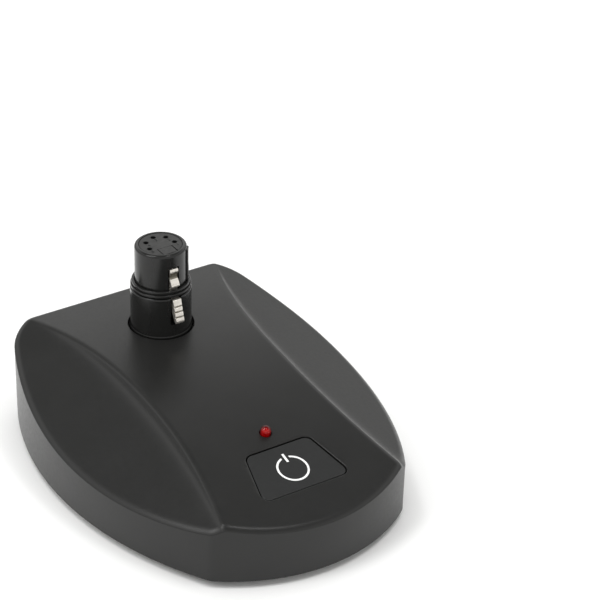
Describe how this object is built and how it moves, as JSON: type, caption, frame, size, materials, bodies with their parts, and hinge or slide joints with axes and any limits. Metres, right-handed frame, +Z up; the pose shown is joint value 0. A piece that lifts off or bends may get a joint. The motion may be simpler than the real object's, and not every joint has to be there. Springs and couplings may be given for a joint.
{
  "type": "desktop gooseneck microphone base",
  "caption": "Desk base for a gooseneck microphone: scooped grey housing, upright latching socket, push button, red lamp and a pin outlet in the rear wall.",
  "frame": {"origin": "on the desk, under the middle of the bounding box", "axes": "+Z up, +Y towards the rear wall with the outlet, +X to the user's right"},
  "size_m": [0.102, 0.121, 0.061],
  "materials": {
    "housing_plastic": "dark grey, finely textured, satin",
    "button_plastic": "dark grey, satin",
    "socket_black": "black, semi-gloss",
    "insert_black": "black, matt",
    "steel": "zinc plated",
    "latch_nickel": "warm satin nickel",
    "contact_silver": "silver plated",
    "lamp_red": "clear red, glossy",
    "board_green": "green lacquer",
    "foot_rubber": "black, matt",
    "cable_jacket": "grey, matt"
  },
  "bodies": {
    "base": {"top_housing": "housing_plastic", "base_plate": "steel", "base_screw_1": "steel", "base_screw_2": "steel", "base_screw_3": "steel", "base_screw_4": "steel", "rubber_foot_1": "foot_rubber", "rubber_foot_2": "foot_rubber", "rubber_foot_3": "foot_rubber", "rubber_foot_4": "foot_rubber", "button_spring": "steel", "switch_body": "insert_black", "control_board": "board_green", "board_screw_1": "steel", "board_screw_2": "steel", "board_screw_3": "steel", "board_screw_4": "steel", "status_lamp": "lamp_red", "lamp_lead_1": "contact_silver", "lamp_lead_2": "contact_silver", "socket_shell": "socket_black", "coding_ring": "socket_black", "socket_insert": "insert_black", "socket_contact_1": "contact_silver", "socket_contact_2": "contact_silver", "socket_contact_3": "contact_silver", "socket_contact_4": "contact_silver", "socket_contact_5": "contact_silver", "socket_board": "board_green", "key_block": "insert_black", "latch_pin": "steel", "latch_spring": "steel", "socket_bracket": "steel", "bracket_screw_1": "steel", "bracket_screw_2": "steel", "outlet_well": "insert_black", "outlet_board": "board_green", "outlet_pin_1": "contact_silver", "outlet_pin_2": "contact_silver", "outlet_pin_3": "contact_silver", "outlet_pin_4": "contact_silver", "outlet_pin_5": "contact_silver", "outlet_screw_1": "steel", "outlet_screw_2": "steel", "audio_cable": "cable_jacket", "outlet_cable": "cable_jacket"},
    "button": {"power_button": "button_plastic"},
    "plunger": {"switch_plunger": "insert_black"},
    "latch": {"latch_lever": "latch_nickel"}
  },
  "joints": [
    {"name": "button_press", "type": "slide", "parent": "base", "child": "button", "axis": [0, 0.2327, -0.9726], "range_m": [0, 0.001], "stiffness_N_per_m": 900, "springref_m": -0.0008, "deforming": ["button_spring"]},
    {"name": "plunger_press", "type": "slide", "parent": "base", "child": "plunger", "axis": [0, 0.2327, -0.9726], "range_m": [0, 0.001]},
    {"name": "latch_press", "type": "hinge", "parent": "base", "child": "latch", "pos_m": [0, 0.0301, 0.055], "axis": [1, 0, 0], "range_deg": [0, 8], "stiffness_Nm_per_rad": 0.25, "springref_deg": -6.88, "deforming": ["latch_spring"]}
  ],
  "couplings": [
    {"joint": "plunger_press", "follows": "button_press", "ratio": 1}
  ]
}
